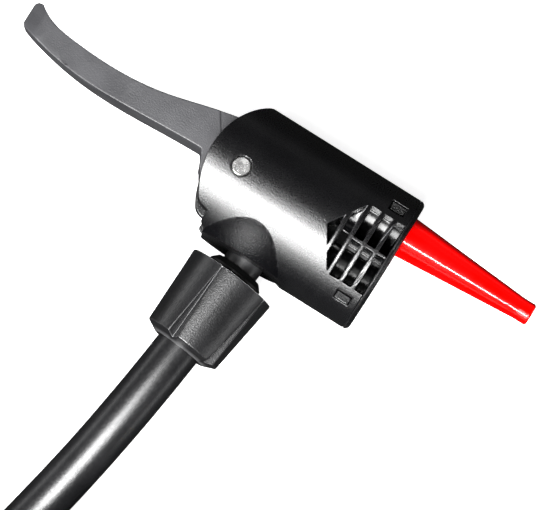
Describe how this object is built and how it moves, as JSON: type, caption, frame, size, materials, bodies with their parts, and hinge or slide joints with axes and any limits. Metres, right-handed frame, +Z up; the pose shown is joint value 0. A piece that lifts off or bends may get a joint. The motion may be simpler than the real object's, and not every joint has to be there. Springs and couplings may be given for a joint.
{
  "type": "pump head with hose",
  "caption": "Lever-locked twin-port pump head on its hose, with a tapered inflation cone in one port and the rest of the hose coiled.",
  "frame": {"origin": "centre of the bottom of the box round the head, lever, cone and hose nut, on the surface they lie on", "axes": "+X along the barrel towards the valve mouths and the cone, +Y away from the hose, +Z up along the lever's pivot pin"},
  "size_m": [0.1534, 0.1992, 0.0316],
  "materials": {
    "shell_nylon": "satin",
    "lever_nylon": "satin",
    "nut_plastic": "satin",
    "stem_plastic": "satin",
    "washer_black": "matt",
    "pin_steel": "polished",
    "cone_red": "glossy",
    "acetal_white": "satin",
    "brass": "turned",
    "spring_steel": "satin",
    "seal_rubber": "matt",
    "hose_rubber": "satin",
    "strap_rubber": "matt",
    "fitting_nickel": "nickel plated"
  },
  "bodies": {
    "hose_side": {"swivel_stem": "stem_plastic", "stem_seals": "seal_rubber", "stem_clip": "spring_steel", "flange_washer": "washer_black", "hose_nut": "nut_plastic", "hose_collet": "acetal_white", "hose": "hose_rubber", "hose_coil": "hose_rubber", "hose_tie": "strap_rubber", "end_sleeve": "fitting_nickel", "end_fitting": "brass", "end_seal": "seal_rubber"},
    "head": {"head_shell": "shell_nylon", "front_cap": "shell_nylon", "pivot_pin": "pin_steel", "large_valve_grommet": "seal_rubber", "small_valve_grommet": "seal_rubber"},
    "lever": {"lever": "lever_nylon"},
    "pusher": {"yoke": "acetal_white", "large_valve_piston": "acetal_white", "small_valve_piston": "acetal_white", "piston_seals": "seal_rubber", "thrust_washers": "brass", "depressor_pin": "brass"},
    "cone": {"inflation_cone": "cone_red"}
  },
  "joints": [
    {"name": "head_swivel", "type": "hinge", "parent": "hose_side", "child": "head", "pos_m": [0.0044, -0.00347, 0.015], "axis": [0.0958, 0.9954, 0], "range_deg": [-180, 180]},
    {"name": "lever_swing", "type": "hinge", "parent": "head", "child": "lever", "pos_m": [-0.006, 0.01083, 0.015], "axis": [0, 0, 1], "range_deg": [0, 82]},
    {"name": "pusher_slide", "type": "slide", "parent": "head", "child": "pusher", "axis": [-1, 0, 0], "range_m": [0, 0.0014]},
    {"name": "cone_pull", "type": "slide", "parent": "head", "child": "cone", "axis": [1, 0, 0], "range_m": [0, 0.009]}
  ],
  "couplings": [
    {"joint": "pusher_slide", "follows": "lever_swing", "m_per_rad": 0.000978}
  ]
}
